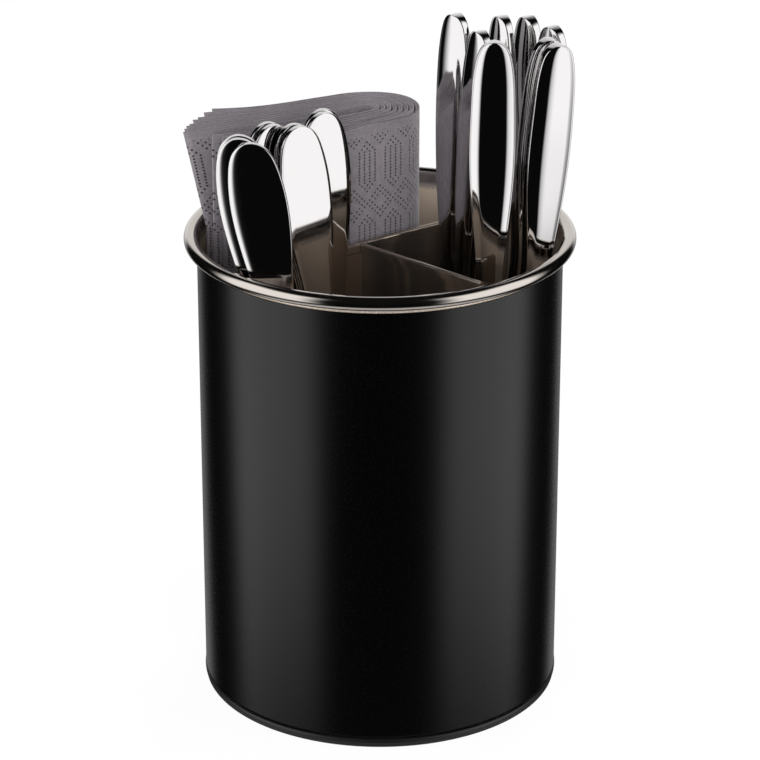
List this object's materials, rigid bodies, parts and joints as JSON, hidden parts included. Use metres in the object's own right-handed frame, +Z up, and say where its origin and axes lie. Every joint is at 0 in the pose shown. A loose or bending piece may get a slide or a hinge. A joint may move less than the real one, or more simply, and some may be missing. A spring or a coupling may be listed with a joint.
{
  "type": "cutlery dispenser",
  "caption": "Round table-top cutlery holder: a black-coated can with a bright rolled rim and a divider, stocked with napkins, forks and knives.",
  "frame": {"origin": "on the can's axis, in the plane of the table it stands on", "axes": "+Z up along the can's axis; +X along the divider's long wall; +Y into the napkin compartment"},
  "size_m": [0.1284, 0.1284, 0.2291],
  "materials": {
    "can_steel": "polished stainless steel",
    "black_coating": "satin black powder coat",
    "foot_plastic": "moulded black plastic",
    "foot_rubber": "black rubber",
    "divider_steel": "cold-rolled stainless steel sheet",
    "napkin_paper": "dot-embossed tissue",
    "cutlery_steel": "mirror-polished stainless steel"
  },
  "bodies": {
    "dispenser": {"inner_can": "can_steel", "outer_sleeve": "black_coating", "base_plate": "can_steel", "foot_ring": "foot_plastic", "anti_slip_ring": "foot_rubber"},
    "divider": {"divider_long_wall": "divider_steel", "divider_cross_wall": "divider_steel"},
    "napkins": {"napkin_1": "napkin_paper", "napkin_2": "napkin_paper", "napkin_3": "napkin_paper", "napkin_4": "napkin_paper", "napkin_5": "napkin_paper", "napkin_6": "napkin_paper", "napkin_7": "napkin_paper", "napkin_8": "napkin_paper"},
    "forks": {"fork_1": "cutlery_steel", "fork_2": "cutlery_steel", "fork_3": "cutlery_steel", "fork_4": "cutlery_steel", "fork_5": "cutlery_steel", "fork_6": "cutlery_steel", "fork_7": "cutlery_steel", "fork_8": "cutlery_steel", "fork_9": "cutlery_steel"},
    "knives": {"knife_1": "cutlery_steel", "knife_2": "cutlery_steel", "knife_3": "cutlery_steel", "knife_4": "cutlery_steel", "knife_5": "cutlery_steel", "knife_6": "cutlery_steel", "knife_7": "cutlery_steel", "knife_8": "cutlery_steel"}
  },
  "joints": [
    {"name": "divider_lift", "type": "slide", "parent": "dispenser", "child": "divider", "axis": [0, 0, 1], "range_m": [0, 0.16]},
    {"name": "napkin_lift", "type": "slide", "parent": "dispenser", "child": "napkins", "axis": [0, 0, 1], "range_m": [0, 0.16]},
    {"name": "fork_lift", "type": "slide", "parent": "dispenser", "child": "forks", "axis": [0, 0, 1], "range_m": [0, 0.16]},
    {"name": "knife_lift", "type": "slide", "parent": "dispenser", "child": "knives", "axis": [0, 0, 1], "range_m": [0, 0.16]}
  ]
}
